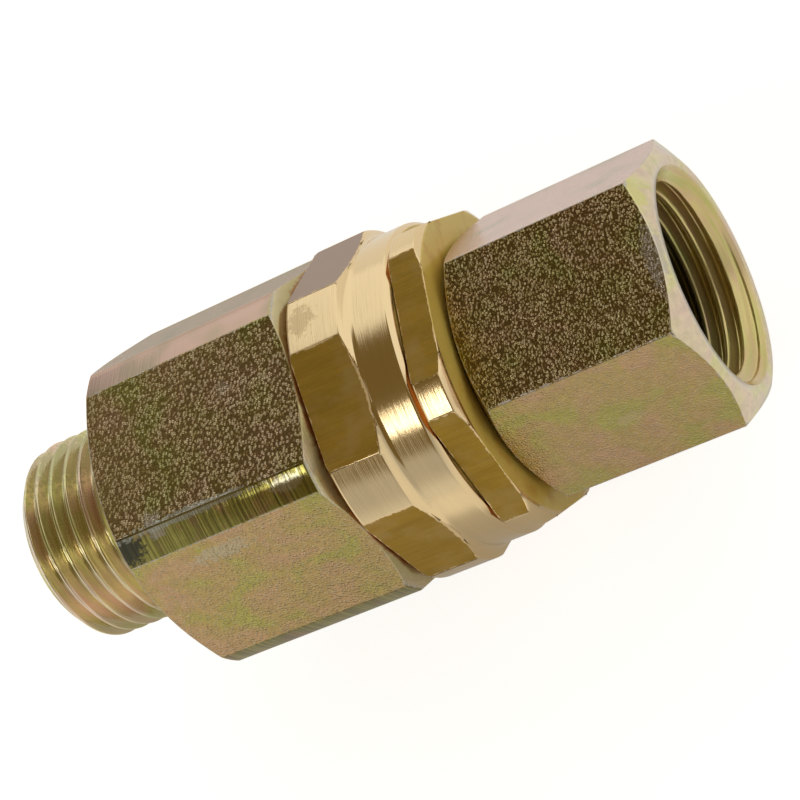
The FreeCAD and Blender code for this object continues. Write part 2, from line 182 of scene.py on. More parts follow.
class StudioSettings(bpy.types.PropertyGroup):
    """Camera, lamps and walls of the studio."""

    azimuth: angle_setting("Azimuth", 50.826, "Camera's turn about Z, 0 looks along +Y")
    elevation: angle_setting("Elevation", 58.262, "Camera's height above the horizon")
    roll: angle_setting("Roll", -69.319, "Camera's turn about its own axis")
    distance: setting("Distance", 0.23801, "From the camera to its target", "LENGTH")
    target: FloatVectorProperty(name="Target", subtype="XYZ", size=3,
                                default=(0.026478, 0.000598, 0.000234),
                                description="Point in the middle of the picture, in metres")
    focal_length: setting("Focal length", 110.34, "In mm on a 36 mm sensor")
    key_power: setting("Key power", 0.11, "Power of the lamp above the joint, in watts")
    key_size: setting("Key size", 0.07, "Width of the lamp along the joint", "LENGTH")
    key_depth: setting("Key depth", 0.13, "Size of the lamp across the joint", "LENGTH")
    key_distance: setting("Key distance", 0.42, "From the target to the lamp", "LENGTH")
    key_direction: FloatVectorProperty(name="Key direction", subtype="DIRECTION", size=3,
                                       default=(-0.31, -0.44, 0.81),
                                       description="From the object towards the lamp")
    bright_wall: setting("Bright wall", 0.98, "Level of the wall on the +Y side")
    plain_wall: setting("Plain wall", 0.48, "Level of the wall on the -Y side")
    horizon: setting("Horizon", 0.74, "Level of the walls' foot on the -Y side")
    ceiling: colour_setting("Ceiling", (0.172, 0.124, 0.048), "Colour straight above the object")
    floor_colour: colour_setting("Floor colour", (0.80, 0.80, 0.80), "Plain pale floor")
    floor_lift: setting("Floor lift", 0.75, "Light added to the floor for the camera alone")
    floor_glow: setting("Floor glow", 0.47, "Light added to the floor in reflections")


# Turning, milling and thread cutting

def arc(centre_x, centre_radius, radius, first, last, points=6):
    """Points of an arc in an outline, between two angles in degrees."""
    turns = [math.radians(first + (last - first) * step / (points - 1)) for step in range(points)]
    return [(centre_x + radius * math.cos(turn), centre_radius + radius * math.sin(turn))
            for turn in turns]


def in_zone(point, zone):
    """Whether a point lies between the two stations and the two radii of a zone, in mm."""
    first, last, inner, outer = zone
    radius = math.hypot(point.y, point.z) / MM
    return first < point.x / MM < last and inner < radius < outer


def turned_blank(outline, steps, fine=None, spacing=0.076):
    """Spins a closed outline of (x, radius) points; edges in the fine zone get close rings."""
    bm = bmesh.new()
    verts = [bm.verts.new((x * MM, radius * MM, 0)) for x, radius in outline]
    edges = [bm.edges.new(ends) for ends in zip(verts, verts[1:] + verts[:1])]
    for edge in edges if fine else ():
        start, end = (vert.co for vert in edge.verts)
        cuts = int(abs(start.x - end.x) / MM / spacing)
        if cuts and in_zone((start + end) / 2, fine):
            bmesh.ops.subdivide_edges(bm, edges=[edge], cuts=cuts)
    bmesh.ops.spin(bm, geom=bm.verts[:] + bm.edges[:], cent=(0, 0, 0), axis=X_AXIS,
                   angle=math.tau, steps=steps, use_merge=True)
    bmesh.ops.remove_doubles(bm, verts=bm.verts[:], dist=1e-7)
    bmesh.ops.recalc_face_normals(bm, faces=bm.faces[:])
    return bm


def mill_flats(bm, half_flats, turn):
    """Cuts six flats, the first one turned from +Z about X, and closes them."""
    for side in range(6):
        angle = math.radians(90 + 60 * side) + turn
        normal = Vector((0, math.cos(angle), math.sin(angle)))
        cut = bmesh.ops.bisect_plane(bm, geom=bm.verts[:] + bm.edges[:] + bm.faces[:],
                                     dist=1e-8, plane_co=normal * half_flats * MM,
                                     plane_no=normal, clear_outer=True)
        rim = [part for part in cut["geom_cut"] if isinstance(part, bmesh.types.BMEdge)]
        bmesh.ops.edgeloop_fill(bm, edges=rim, mat_nr=FLAT_MATERIAL)


def thread_radii(sizes):
    """Radii at the roots and at the crests of the pipe thread, in mm."""
    crest = sizes.thread_diameter / 2
    return crest - THREAD_DEPTH * sizes.thread_pitch, crest


def tooth_height(share):
    """Height of a pipe thread's tooth, at a share of the pitch from its crest."""
    reach = THREAD_ROUNDING * math.cos(THREAD_HALF_ANGLE)
    drop = THREAD_ROUNDING * (1 - math.sin(THREAD_HALF_ANGLE))
    if share < reach:
        return THREAD_DEPTH - THREAD_ROUNDING + math.sqrt(THREAD_ROUNDING ** 2 - share ** 2)
    if share > 0.5 - reach:
        return THREAD_ROUNDING - math.sqrt(THREAD_ROUNDING ** 2 - (0.5 - share) ** 2)
    return THREAD_DEPTH - drop - (share - reach) / math.tan(THREAD_HALF_ANGLE)


def cut_thread(bm, zone, sizes, crest_at, inside):
    """Moves the close rings of a blank onto a right-handed thread, inside the zone."""
    root, _ = thread_radii(sizes)
    limit = max if inside else min
    for vert in bm.verts:
        if in_zone(vert.co, zone):
            radius = math.hypot(vert.co.y, vert.co.z) / MM
            turn = math.atan2(vert.co.z, vert.co.y) / math.tau
            share = ((vert.co.x / MM - crest_at) / sizes.thread_pitch - turn) % 1
            tooth = root + tooth_height(min(share, 1 - share)) * sizes.thread_pitch
            scale = limit(radius, tooth) / radius
            vert.co.y *= scale
            vert.co.z *= scale


def break_edges(bm, width, zone):
    """Rounds every steep edge, apart from the thread's."""
    bmesh.ops.remove_doubles(bm, verts=bm.verts[:], dist=0.01 * MM)
    steep = []
    for edge in bm.edges:
        if len(edge.link_faces) == 2 and edge.calc_face_angle() > STEEP_EDGE:
            if not (zone and all(in_zone(vert.co, zone) for vert in edge.verts)):
                steep.append(edge)
    bmesh.ops.bevel(bm, geom=steep, offset=width * MM, offset_type="OFFSET", affect="EDGES",
                    segments=3, profile=0.5, material=-1, clamp_overlap=False)


def machine(outline, sizes, half_flats, turn, zone=None, crest_at=0.0, inside=False):
    """Turns an outline, mills its flats, cuts a thread in the zone and breaks the edges."""
    bm = turned_blank(outline, sizes.steps, zone)
    mill_flats(bm, half_flats, turn)
    if zone:
        cut_thread(bm, zone, sizes, crest_at, inside)
    break_edges(bm, sizes.edge_width, zone)
    bmesh.ops.recalc_face_normals(bm, faces=bm.faces[:])
    return bm


def finish_piece(bm, name, materials, node, body):
    """Makes the object, smooths it and puts it in place of its frame node."""
    mesh = bpy.data.meshes.new(name)
    bm.to_mesh(mesh)
    bm.free()
    for material in materials:
        mesh.materials.append(material)
    mesh.shade_smooth()
    piece = bpy.data.objects.new(name, mesh)
    bpy.context.scene.collection.objects.link(piece)
    normals = piece.modifiers.new("Flat shading", "WEIGHTED_NORMAL")
    normals.weight = 50
    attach(piece, body)
    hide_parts(node)


# Shader building blocks

def connect(tree, node, inputs):
    """Links or sets a node's inputs, each by its name or its number."""
    for key, value in inputs.items():
        socket = node.inputs[key]
        if isinstance(value, bpy.types.NodeSocket):
            tree.links.new(value, socket)
        elif socket.type == "RGBA":
            socket.default_value = (*value[:3], 1)
        else:
            socket.default_value = value


def add_node(tree, kind, inputs, **settings):
    """Adds a node, sets its attributes, and links or sets its inputs."""
    made = tree.nodes.new(kind)
    for key, value in settings.items():
        setattr(made, key, value)
    connect(tree, made, inputs)
    return made


def maths(tree, operation, first, second=0.0, clamp=False):
    """One Math node's result."""
    return add_node(tree, "ShaderNodeMath", {0: first, 1: second}, operation=operation,
                    use_clamp=clamp).outputs[0]


def times(tree, first, second):
    """Product of two values."""
    return maths(tree, "MULTIPLY", first, second)


def map_range(tree, value, low, high, to_low=0.0, to_high=1.0, smooth=True):
    """Maps a value from one range to another."""
    made = add_node(tree, "ShaderNodeMapRange",
                    {"Value": value, "From Min": low, "From Max": high, "To Min": to_low,
                     "To Max": to_high},
                    interpolation_type="SMOOTHSTEP" if smooth else "LINEAR")
    return made.outputs["Result"]


def fade(tree, share, first, second):
    """Runs evenly from the first value to the second as the share rises to one."""
    return map_range(tree, share, 0.0, 1.0, first, second, smooth=False)


def mix_colour(tree, factor, first, second, blend="MIX"):
    """Mixes two colours."""
    return add_node(tree, "ShaderNodeMix", {0: factor, 6: first, 7: second}, data_type="RGBA",
                    blend_type=blend).outputs[2]


def noise(tree, vector, scale, detail=2.0, roughness=0.5, distortion=0.0):
    """Noise between 0 and 1."""
    return add_node(tree, "ShaderNodeTexNoise",
                    {"Vector": vector, "Scale": scale, "Detail": detail,
                     "Roughness": roughness, "Distortion": distortion}).outputs["Fac"]


def grey(tree, value):
    """Colour with the same value in its three channels."""
    return add_node(tree, "ShaderNodeCombineColor", {0: value, 1: value, 2: value}).outputs[0]


def components(tree, vector):
    """The three parts of a vector, along X, Y and Z."""
    return add_node(tree, "ShaderNodeSeparateXYZ", {0: vector}).outputs


def vector_maths(tree, operation, inputs):
    """One Vector Math node's outputs, the vector and the value."""
    return add_node(tree, "ShaderNodeVectorMath", inputs, operation=operation).outputs


def stretched(tree, vector, scale):
    """Vector with its components scaled apart."""
    return vector_maths(tree, "MULTIPLY", {0: vector, 1: scale})[0]


def from_station(tree, along, station):
    """Distance along the axis from a station."""
    return maths(tree, "ABSOLUTE", maths(tree, "SUBTRACT", along, station))


# Shader groups: each builder gets the group's inputs and returns its outputs, in order

def turned_position(group, position):
    """A position in mm, and its place about the X axis."""
    scaled = vector_maths(group, "SCALE", {0: position, "Scale": 1 / MM})[0]
    along, across, height = components(group, scaled)
    square = maths(group, "ADD", times(group, across, across), times(group, height, height))
    radius = maths(group, "SQRT", square)
    flat = add_node(group, "ShaderNodeCombineXYZ", {1: across, 2: height}).outputs[0]
    _, cosine, sine = components(group, vector_maths(group, "NORMALIZE", {0: flat})[0])
    unrolled = add_node(group, "ShaderNodeCombineXYZ", {0: maths(group, "ADD", along, radius),
                                                        1: cosine, 2: sine}).outputs[0]
    return scaled, along, radius, unrolled


def chromate_film(group, position, tan, pink, green, patch_size, strength):
    """Patchy tan, pink and green of a yellow chromate film."""
    patches = noise(group, position, maths(group, "DIVIDE", 1.0, patch_size), 2.0, 0.5, 0.8)
    pinkish = times(group, map_range(group, patches, 0.48, 0.66), strength)
    greenish = times(group, map_range(group, patches, 0.50, 0.34), strength)
    tinted = mix_colour(group, greenish, mix_colour(group, pinkish, tan, pink), green)
    mottle = map_range(group, noise(group, position, 1.1, 3.0, 0.6), 0.3, 0.7, 0.93, 1.07)
    return [mix_colour(group, 1.0, tinted, grey(group, mottle), "MULTIPLY")]


def drawn_grain(group, position, grain_size):
    """Small crowded domes of a drawn bar's skin, and a mask of the pits between them, where the
    flats paint shade.
    """
    scale = maths(group, "DIVIDE", 1.0, grain_size)
    cells = add_node(group, "ShaderNodeTexVoronoi", {"Vector": position, "Scale": scale})
    dome = map_range(group, cells.outputs["Distance"], 0.0, 0.72, 1.0, 0.0)
    level = add_node(group, "ShaderNodeSeparateColor", {0: cells.outputs["Color"]}).outputs[0]
    raised = times(group, dome, map_range(group, level, 0.0, 1.0, 0.55, 1.0))
    uneven = noise(group, position, times(group, scale, 1.4), 3.0, 0.6)
    return [maths(group, "ADD", raised, uneven), map_range(group, raised, 0.0, 0.5, 1.0, 0.0)]


def rubbed_spot(group, position, centre, stretch):
    """Ragged patch round a centre in mm, longer where its stretch is small."""
    away = vector_maths(group, "SUBTRACT", {0: position, 1: centre})[0]
    reach = vector_maths(group, "LENGTH", {0: stretched(group, away, stretch)})[1]
    ragged = maths(group, "SUBTRACT", noise(group, position, 1.8, 4.0, 0.7), 0.5)
    edge = maths(group, "ADD", reach, times(group, ragged, 2.4))
    return [map_range(group, edge, 0.55, 1.0, 1.0, 0.0)]


def seam_shade(group, position, along, seam, width):
    """Painted shade in the seam between two pieces, at a station along the axis."""
    ragged = noise(group, position, 0.9, 4.0, 0.65)
    width = times(group, width, map_range(group, ragged, 0.3, 0.7, 0.75, 1.3))
    share = maths(group, "DIVIDE", from_station(group, along, seam), width)
    return [map_range(group, share, 0.4, 1.0, 1.0, 0.0)]


def edge_wear(group, position, along, radius, half_flats, corner, start, end, start_face,
              end_face, slope, width):
    """Rubbed border of a milled flat, from its radius and its place along the bar."""
    apothem = times(group, half_flats, half_flats)
    half_width = maths(group, "SUBTRACT", times(group, corner, corner), apothem)
    beyond = maths(group, "SUBTRACT", times(group, radius, radius), apothem)
    side = maths(group, "SQRT", maths(group, "MAXIMUM", beyond, 0.0))
    border = maths(group, "SUBTRACT", maths(group, "SQRT", half_width), side)
    for face, way, station in ((start_face, 1.0, start), (end_face, -1.0, end)):
        fall = maths(group, "MAXIMUM", maths(group, "SUBTRACT", radius, face), 0.0)
        gap = times(group, maths(group, "SUBTRACT", along, station), way)
        gap = maths(group, "SUBTRACT", gap, times(group, fall, slope))
        border = maths(group, "MINIMUM", border, gap)
    ragged = noise(group, position, 1.4, 4.0, 0.65)
    reach = times(group, width, map_range(group, ragged, 0.35, 0.7, 0.0, 2.0))
    share = maths(group, "DIVIDE", border, maths(group, "ADD", reach, 0.01))
    return [map_range(group, maths(group, "SUBTRACT", 1.0, share, clamp=True), 0.0, 0.5)]


def tool_lines(group, unrolled, fineness):
    """Fine lines that a lathe leaves round the axis."""
    fine = noise(group, stretched(group, unrolled, (1.0, 0.12, 0.12)), fineness, 3.0, 0.65)
    broad = noise(group, stretched(group, unrolled, (1.0, 0.6, 0.6)), 1.3, 2.0, 0.5)
    return [fine, times(group, fine, map_range(group, broad, 0.3, 0.7, 0.6, 1.2))]


def brush_lines(group, position, fineness):
    """Fine lines along the bar on a drawn or milled flat."""
    fine = noise(group, stretched(group, position, (0.05, 1.0, 1.0)), fineness, 3.0, 0.7)
    broad = noise(group, stretched(group, position, (0.15, 1.0, 1.0)), 0.9, 2.0, 0.5)
    return [fine, map_range(group, maths(group, "ADD", fine, broad), 0.7, 1.3)]


VECTORS = {"Position", "Position mm", "Unrolled", "Centre", "Stretch"}
COLOURS = {"Tan", "Pink", "Green", "Colour"}
GROUPS = {
    "Turned position": (turned_position, ["Position"],
                        ["Position mm", "Along", "Radius", "Unrolled"]),
    "Chromate film": (chromate_film, ["Position mm", "Tan", "Pink", "Green", "Patch size",
                                      "Strength"], ["Colour"]),
    "Drawn grain": (drawn_grain, ["Position mm", "Grain size"], ["Height", "Pits"]),
    "Rubbed spot": (rubbed_spot, ["Position mm", "Centre", "Stretch"], ["Mask"]),
    "Seam shade": (seam_shade, ["Position mm", "Along", "Seam", "Width"], ["Mask"]),
    "Edge wear": (edge_wear, ["Position mm", "Along", "Radius", "Half flats", "Corner radius",
                              "Start", "End", "Start face", "End face", "Slope", "Width"],
                  ["Wear"]),
    "Tool lines": (tool_lines, ["Unrolled", "Fineness"], ["Height", "Streaks"]),
    "Brush lines": (brush_lines, ["Position mm", "Fineness"], ["Height", "Streaks"]),
}


def shared_group(name):
    """The finished group of that name, built on first use."""
    if name in bpy.data.node_groups:
        return bpy.data.node_groups[name]
    build, inputs, outputs = GROUPS[name]
    group = bpy.data.node_groups.new(name, "ShaderNodeTree")
    for way, sockets in (("INPUT", inputs), ("OUTPUT", outputs)):
        for socket in sockets:
            kind = "Vector" if socket in VECTORS else "Color" if socket in COLOURS else "Float"
            group.interface.new_socket(socket, in_out=way, socket_type="NodeSocket" + kind)
    start, end = group.nodes.new("NodeGroupInput"), group.nodes.new("NodeGroupOutput")
    for result, socket in zip(build(group, *start.outputs[:len(inputs)]), end.inputs):
        group.links.new(result, socket)
    return group


class Surface:
    """A new metal material: its tree, its shader and the place about the X axis, in mm."""

    def __init__(self, name):
        self.material = bpy.data.materials.new(name)
        self.material.use_nodes = True
        self.tree = self.material.node_tree
        self.shader = self.tree.nodes["Principled BSDF"]
        self.place = {}
        coords = self.tree.nodes.new("ShaderNodeTexCoord").outputs["Object"]
        outputs = self.group("Turned position", {"Position": coords})
        self.place = {socket.name: socket for socket in outputs}
        self.position, self.along, self.radius, self.unrolled = outputs

    def group(self, name, inputs):
        """Outputs of a shared group; its place sockets are linked unless they are given."""
        made = self.tree.nodes.new("ShaderNodeGroup")
        made.node_tree = shared_group(name)
        place = {key: self.place[key] for key in GROUPS[name][1] if key in self.place}
        connect(self.tree, made, {**place, **inputs})
        return made.outputs

    def film(self, shades, patch_size, strength, position=None):
        """Patchy chromate colours from a tan, a pink and a green."""
        return self.group("Chromate film", {
            "Position mm": position or self.position, "Patch size": patch_size,
            "Strength": strength, **dict(zip(("Tan", "Pink", "Green"), shades))})["Colour"]

    def facing(self):
        """Rises from nothing to one as the surface turns away from the view."""
        return self.tree.nodes.new("ShaderNodeLayerWeight").outputs["Facing"]

    def low_angle_sheen(self, colour, pale, turned_away, rise, patchy=True):
        """Paints a pale sheen on upper faces seen at a low angle, in soft patches on a film."""
        tree = self.tree
        share = times(tree, map_range(tree, self.facing(), *turned_away),
                      map_range(tree, components(tree, self.position)[2], *rise))
        if patchy:
            patches = map_range(tree, noise(tree, self.position, 0.17, 1.0), 0.24, 0.50)
            olive, rosy = ([part * level for part, level in zip(pale, patch)]
                           for patch in (OLIVE_PATCH, ROSY_PATCH))
            pale = mix_colour(tree, patches, olive, rosy)
        return mix_colour(tree, share, colour, pale)

    def wear(self, hexagon, width):
        """Mask of the rubbed borders of a hexagon's flats."""
        return self.group("Edge wear", {**hexagon, "Width": width})["Wear"]

    def add_spots(self, colour, spots):
        """Lays spots on the colour, each a centre, a stretch, a colour and a share."""
        for centre, stretch, tone, share in spots:
            mask = self.group("Rubbed spot", {"Centre": centre, "Stretch": stretch})["Mask"]
            colour = mix_colour(self.tree, times(self.tree, mask, share), colour, tone)
        return colour

    def add_seams(self, colour, seams, width=0.06):
        """Paints shade at the seams beside this piece."""
        for seam in seams:
            mask = self.group("Seam shade", {"Seam": seam, "Width": width})["Mask"]
            colour = mix_colour(self.tree, mask, colour, SEAM_SHADE_TONE)
        return colour

    def near_seams(self, seams, reach):
        """Share that falls from one to nothing within the reach of a seam, in mm."""
        share = 0.0
        for seam in seams:
            away = from_station(self.tree, self.along, seam)
            share = maths(self.tree, "MAXIMUM", share,
                          map_range(self.tree, away, 0.3 * reach, reach, 1.0, 0.0))
        return share

    def finish(self, colour, metallic, roughness, height, depth):
        """Connects the shader, with a relief whose depth is in mm, and returns the material."""
        normal = add_node(self.tree, "ShaderNodeBump", {"Height": height, "Distance": depth * MM})
        connect(self.tree, self.shader, {"Base Color": colour, "Metallic": metallic,
                                         "Roughness": roughness, "Normal": normal.outputs[0]})
        return self.material


# Finishes

def zinc_flat(name, finish, pale, hexagon, spots, seams, grain, wear_width, edge_tint, rise):
    """Chromated flat of a drawn bar: grain of a size and a slope, patchy film, rubbed borders."""
    surface = Surface(name)
    tree = surface.tree
    grain_size, steepness = grain
    height, pits = surface.group("Drawn grain", {"Grain size": grain_size})
    colour = surface.film((finish.film_tan, finish.film_pink, finish.film_green), 5.0, 0.85)
    facing = surface.facing()
    # Painted highlight on the grain's domes and painted shade in its pits, both fading at a low
    # angle
    for tone, shown, turned_away in ((GRAIN_HIGHLIGHT, (0.0, 0.7, 0.42, 0.0), 0.5),
                                     (GRAIN_PIT_SHADE, (0.25, 0.95, 0.0, 0.70), 0.12)):
        share = times(tree, map_range(tree, pits, *shown),
                      map_range(tree, facing, 0.17, 0.27, 1.0, turned_away))
        colour = mix_colour(tree, share, colour, tone)
    # Painted pale sheen on upper faces seen at a low angle
    colour = surface.low_angle_sheen(colour, pale, (0.36, 0.62), rise)
    wear = surface.wear(hexagon, wear_width)
    colour = mix_colour(tree, wear, colour, finish.worn_steel)
    colour = surface.add_seams(surface.add_spots(colour, spots), seams)
    connect(tree, surface.shader, {"Specular Tint": edge_tint})
    return surface.finish(colour, fade(tree, wear, 1.0, 0.5),
                          map_range(tree, pits, 0.0, 1.0, 0.10, 0.18),
                          height, steepness * grain_size)


def zinc_turned(name, finish, pale, corner, spots, seams=(), depth=None):
    """Chromated turned steel: stub, thread, chamfers and, darker, the corner strips; given depth
    stations, it paints shade deep in the port.
    """
    surface = Surface(name)
    tree, radius = surface.tree, surface.radius
    strips = surface.film((finish.film_green, finish.film_tan, finish.film_green), 2.5, 1.0)
    # Painted pale sheen on the upper corner strips seen at a low angle
    strips = surface.low_angle_sheen(strips, pale, (0.22, 0.42), (4.0, 10.0))
    turned = surface.film((finish.turned_tan, finish.turned_pink, finish.turned_green), 4.0, 0.9)
    threads = surface.film((finish.thread_tan, finish.thread_pink, finish.thread_green), 1.2, 1.0,
                           stretched(tree, surface.unrolled, (1.0, 1.6, 1.6)))
    threaded = map_range(tree, radius, 11.0, 10.75)
    on_corner = map_range(tree, radius, corner - 0.25, corner - 0.1)
    colour = mix_colour(tree, threaded, turned, threads)
    colour = mix_colour(tree, on_corner, colour, strips)

    lines = surface.group("Tool lines", {"Fineness": 5.0})["Height"]
    across = components(tree, surface.position)[1]
    # Tool-line streaks darken only the corner strips on the -Y side
    lower = times(tree, on_corner, map_range(tree, across, 3.0, -3.0))
    streaks = fade(tree, lower, 1.0, map_range(tree, lines, 0.38, 0.62, 0.48, 0.98))
    colour = mix_colour(tree, 1.0, colour, grey(tree, streaks), "MULTIPLY")
    colour = surface.add_spots(colour, spots)

    rim = times(tree, map_range(tree, radius, corner - 0.42, corner - 0.22),
                map_range(tree, radius, corner - 0.03, corner - 0.10))
    rim = times(tree, rim, map_range(tree, noise(tree, surface.position, 1.2, 3.0),
                                     0.35, 0.6, 0.3, 0.9))
    # Painted olive light on the chamfer near the seams, which is also made duller
    beside = surface.near_seams(seams, 1.7)
    colour = mix_colour(tree, times(tree, beside, 0.7), colour, SEAM_SIDE_LIGHT)
    colour = mix_colour(tree, rim, colour, RUBBED_RIM)
    colour = surface.add_seams(colour, seams, 0.62)
    if depth:
        colour = mix_colour(tree, threaded, colour,
                            mix_colour(tree, 1.0, colour, PORT_TINT, "MULTIPLY"))
        # Painted shade deep inside the port, from the depth stations inwards
        inside = times(tree, map_range(tree, surface.along, *depth),
                       map_range(tree, radius, 11.2, 10.9))
        colour = mix_colour(tree, inside, colour, PORT_DEPTH_SHADE)

    dull = times(tree, threaded, 0.38 if depth else 0.12)
    for share, level in ((beside, 0.6), (rim, 0.7)):
        dull = maths(tree, "MAXIMUM", dull, times(tree, share, level))
    roughness = maths(tree, "SUBTRACT", map_range(tree, threaded, 0.0, 1.0, 0.15, 0.16),
                      times(tree, on_corner, 0.08))
    relief = times(tree, lines, map_range(tree, on_corner, 0.0, 1.0, 0.5, 0.10))
    return surface.finish(colour, fade(tree, dull, 1.0, 0.0), roughness, relief, 0.05)


def brass_flat(name, finish, hexagon, seams=()):
    """Dull drawn skin of the brass flats, with lines along the bar and rubbed borders."""
    surface = Surface(name)
    tree = surface.tree
    height, streaks = surface.group("Brush lines", {"Fineness": 5.0})
    dark = [0.80 * part for part in finish.brass_skin]
    colour = mix_colour(tree, streaks, dark, finish.brass_skin)
    clouds = noise(tree, surface.position, 0.28, 3.0, 0.55)
    colour = mix_colour(tree, map_range(tree, clouds, 0.42, 0.68, 0.0, 0.55), colour, BRASS_CLOUDS)
    specks = noise(tree, surface.position, 4.5, 2.0, 0.6)
    colour = mix_colour(tree, map_range(tree, specks, 0.60, 0.78, 0.0, 0.5), colour, BRASS_SPECKS)
    # Painted pale sheen on upper brass flats seen at a low angle
    colour = surface.low_angle_sheen(colour, finish.brass_pale, (0.45, 0.75), (-6.0, 0.0), False)
    colour = mix_colour(tree, surface.wear(hexagon, 0.12), colour, finish.brass_turned)
    colour = surface.add_seams(colour, seams)
    return surface.finish(colour, 1.0, 0.60, height, 0.012)


def brass_turned(name, finish, stained, seams, spots=()):
    """Bright turned brass with fine lines round the axis, stained from a station onwards; the olive
    and amber stain is also a painted reflection, made bright and dull against the shade of the gap.
    """
    surface = Surface(name)
    tree = surface.tree
    height, streaks = surface.group("Tool lines", {"Fineness": 7.0})
    dark = [0.90 * part for part in finish.brass_turned]
    colour = mix_colour(tree, streaks, dark, finish.brass_turned)
    colour = surface.add_seams(surface.add_spots(colour, spots), seams)
    across = components(tree, surface.position)[1]
    inner = maths(tree, "MAXIMUM", map_range(tree, surface.radius, 15.35, 15.0),
                  map_range(tree, across, 3.0, 7.0))
    # Stain on the end face, inwards and over the +Y side, which also paints a reflection
    stain = times(tree, inner, map_range(tree, surface.along, stained - 0.10, stained - 0.02))
    amber = map_range(tree, noise(tree, surface.position, 0.35, 3.0, 0.6), 0.50, 0.70, 0.0, 0.7)
    stain_reflection_colour = mix_colour(tree, amber, finish.brass_stain_reflection, AMBER_STAIN_REFLECTION)
    return surface.finish(mix_colour(tree, stain, colour, stain_reflection_colour),
                          map_range(tree, stain, 0.0, 1.0, 1.0, 0.2),
                          map_range(tree, stain, 0.0, 1.0, 0.14, 0.30), height, 0.014)


def inner_metal(name, colour, roughness):
    """Ground steel or bronze of the inner pieces."""
    surface = Surface(name)
    height, streaks = surface.group("Tool lines", {"Fineness": 9.0})
    dark = [0.8 * part for part in colour]
    tinted = mix_colour(surface.tree, streaks, dark, colour)
    return surface.finish(tinted, 1.0, roughness, height, 0.006)


def inner_seal(name, colour, roughness):
    """Rubber or plastic of the seals, finely mottled."""
    surface = Surface(name)
    tree = surface.tree
    mottle = noise(tree, surface.position, 3.0, 4.0, 0.6)
    pale = [min(1.0, 1.35 * part + 0.01) for part in colour]
    tinted = mix_colour(tree, map_range(tree, mottle, 0.35, 0.65), colour, pale)
    uneven = map_range(tree, mottle, 0.3, 0.7, roughness - 0.08, roughness + 0.08)
    return surface.finish(tinted, 0.0, uneven, mottle, 0.01)


# Pieces

def hexagon_inputs(half_flats, corner, start, end, start_face, end_face, slope):
    """Named inputs of the edge wear group for one hexagon, in mm."""
    return {"Half flats": half_flats, "Corner radius": corner, "Start": start, "End": end,
            "Start face": start_face, "End face": end_face, "Slope": slope}


class SWIVEL_OT_housing(bpy.types.Operator):
    """Turns the housing, mills its flats and cuts the male thread"""

    bl_idname = "swivel.housing"
    bl_label = "Male Housing"

    def execute(self, context):
        sizes, finish = context.scene.swivel_sizes, context.scene.swivel_finish
        low, high = frame_mm("male_housing")
        corner, half_flats = high.y, high.z
        drop, relief_drop, relief_start, fillet = 2.45, 0.2, -2.2, 0.6
        bore, seat, seat_half_angle = 6.0, 7.8, math.radians(30)
        face = corner - drop
        slope = math.tan(sizes.chamfer_angle)
        run = (corner - face) * slope
        root, crest = thread_radii(sizes)
        stub_end, relief = root - 0.1, root - relief_drop
        chamber = frame_mm("inner_thrust_washer")[1].y + WASHER_CLEARANCE
        chamber_start = frame_mm("guide_bush")[1].x
        pocket = frame_mm("guide_bush")[1].y + CLEARANCE
        pocket_floor = frame_mm("seal_seat_ring")[0].x
        nut_thread = SPIGOT_THREAD_RADIUS + CLEARANCE
        thread_end = frame_mm("bearing_nut")[0].x - WASHER_THICKNESS
        outline = [(low.x, seat), (low.x, stub_end), (low.x + crest - stub_end, crest),
                   (relief_start - crest + relief, crest), (relief_start, relief),
                   *arc(-fillet, relief + fillet, fillet, -90, 0), (0, face), (run, corner),
                   (high.x - run, corner), (high.x, face), (high.x, COUNTERBORE_RADIUS),
                   (O_RING_GROOVE_START, COUNTERBORE_RADIUS), (O_RING_GROOVE_START, nut_thread),
                   (thread_end, nut_thread), (thread_end, chamber), (chamber_start, chamber),
                   (chamber_start, pocket), (pocket_floor, pocket), (pocket_floor, bore),
                   (low.x + (seat - bore) / math.tan(seat_half_angle), bore)]
        zone = (low.x - 1, relief_start + 0.01, 8.9, crest + 0.1)
        bm = machine(outline, sizes, half_flats, 0.0, zone, sizes.male_start)
        hexagon = hexagon_inputs(half_flats, corner, 0.0, high.x, face, face, slope)
        pale, worn, seams = finish.housing_pale, finish.worn_steel, (high.x,)
        scuffs = (((5.9, -6.9, 16.0), (0.8, 1.0, 1.0), worn, 0.8),
                  ((10.0, -7.4, 16.0), (0.12, 1.9, 1.9), (0.56, 0.56, 0.47), 0.85),
                  ((16.5, 2.5, 16.0), (0.9, 1.3, 1.3), worn, 0.35),
                  ((10.6, -11.2, 12.6), (0.28, 0.9, 0.9), (0.50, 0.42, 0.27), 0.8))
        # The first, near-black spot is a painted dark reflection at the left end of the corner strip
        strip_wear_and_reflection = (((2.4, -8.6, 15.4), (0.50, 0.5, 0.5), (0.06, 0.06, 0.05), 0.9),
                       ((6.0, -8.0, 15.7), (0.8, 1.2, 1.2), (0.55, 0.52, 0.43), 0.5),
                       ((10.0, -7.6, 15.9), (0.10, 2.0, 2.0), (0.50, 0.50, 0.42), 0.7),
                       ((20.6, -8.5, 15.5), (0.5, 0.9, 0.9), (0.56, 0.52, 0.40), 0.7),
                       ((-6.0, 6.0, 8.0), (0.10, 0.22, 0.22), (0.40, 0.37, 0.20), 0.6))
        turned = zinc_turned("Chromated turned steel", finish, pale, corner, strip_wear_and_reflection, seams)
        flats = zinc_flat("Chromated housing flats", finish, pale, hexagon, scuffs, seams,
                          grain=(finish.grain_size, 0.24), wear_width=0.10,
                          edge_tint=(0.62, 0.60, 0.50), rise=(0.5, 6.0))
        finish_piece(bm, "housing", (turned, flats), "male_housing", "stator")
        return {"FINISHED"}


